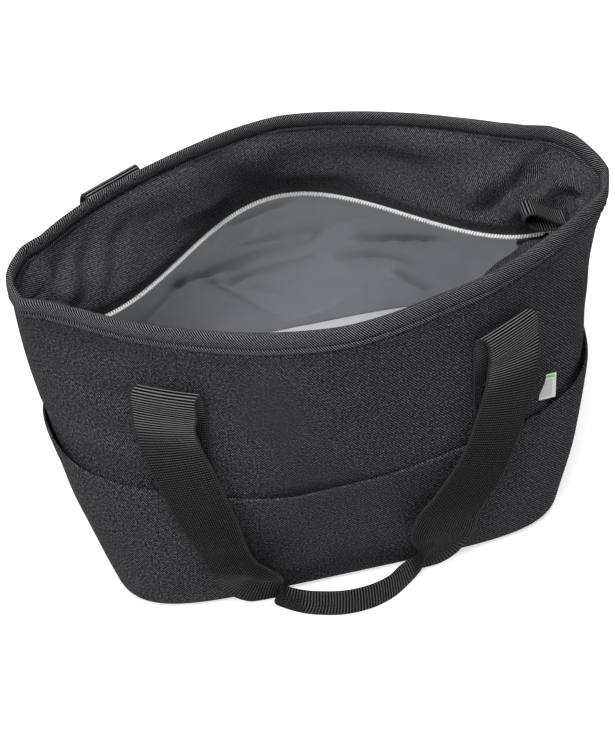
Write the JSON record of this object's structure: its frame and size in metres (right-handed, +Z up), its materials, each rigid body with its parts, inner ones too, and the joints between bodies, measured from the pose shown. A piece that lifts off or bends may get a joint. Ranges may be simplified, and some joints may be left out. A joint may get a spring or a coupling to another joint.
{
  "type": "insulated lunch bag",
  "caption": "Soft insulated bag with a boxed base, hemmed lens-shaped mouth, recessed zip opening, silver lining, front slip pocket and hanging webbing handles.",
  "frame": {"origin": "centre of the underside of the base, in the plane the bag stands on", "axes": "+Z up; -Y is the front, which has the slip pocket; +X along the length, towards the zip's closed end with the webbing loop"},
  "size_m": [0.324, 0.2282, 0.206],
  "materials": {
    "outer_cloth": "matt black woven polyester",
    "lining_film": "satin silver-grey film",
    "foam": "closed-cell foam",
    "board": "stiff plain board",
    "zip_tape": "ribbed black tape",
    "zip_coil": "white nylon",
    "webbing": "ribbed black webbing",
    "label_cloth": "white satin ribbon",
    "dark_metal": "black semi-gloss"
  },
  "bodies": {
    "bag": {"front_shell": "outer_cloth", "front_foam": "foam", "front_lining": "lining_film", "front_rim_hem": "outer_cloth", "front_zip_panel": "outer_cloth", "front_zip_tape": "zip_tape", "front_zip_coil": "zip_coil", "back_shell": "outer_cloth", "back_foam": "foam", "back_lining": "lining_film", "back_rim_hem": "outer_cloth", "back_zip_panel": "outer_cloth", "back_zip_tape": "zip_tape", "back_zip_coil": "zip_coil", "base_panel": "outer_cloth", "base_foam": "foam", "base_board": "board", "lining_floor": "lining_film", "front_pocket_panel": "outer_cloth", "front_left_handle_patch": "webbing", "front_right_handle_patch": "webbing", "back_left_handle_patch": "webbing", "back_right_handle_patch": "webbing", "side_label": "label_cloth", "right_zip_end": "zip_tape", "left_zip_end": "zip_tape", "zip_end_loop": "webbing"},
    "front_handle": {"front_handle": "webbing"},
    "back_handle": {"back_handle": "webbing"},
    "zip_slider": {"zip_slider": "dark_metal"},
    "zip_pull": {"zip_pull": "dark_metal"}
  },
  "joints": [
    {"name": "front_handle_swing", "type": "hinge", "parent": "bag", "child": "front_handle", "pos_m": [0, -0.0675, 0.1607], "axis": [-1, 0, 0], "range_deg": [0, 168]},
    {"name": "back_handle_swing", "type": "hinge", "parent": "bag", "child": "back_handle", "pos_m": [0, 0.0728, 0.1607], "axis": [1, 0, 0], "range_deg": [0, 168]},
    {"name": "zip_slide", "type": "slide", "parent": "bag", "child": "zip_slider", "axis": [-1, 0, 0], "range_m": [0, 0.01]},
    {"name": "pull_swing", "type": "hinge", "parent": "zip_slider", "child": "zip_pull", "pos_m": [0.1313, 0, 0.1552], "axis": [0, 1, 0], "range_deg": [0, 36]}
  ]
}
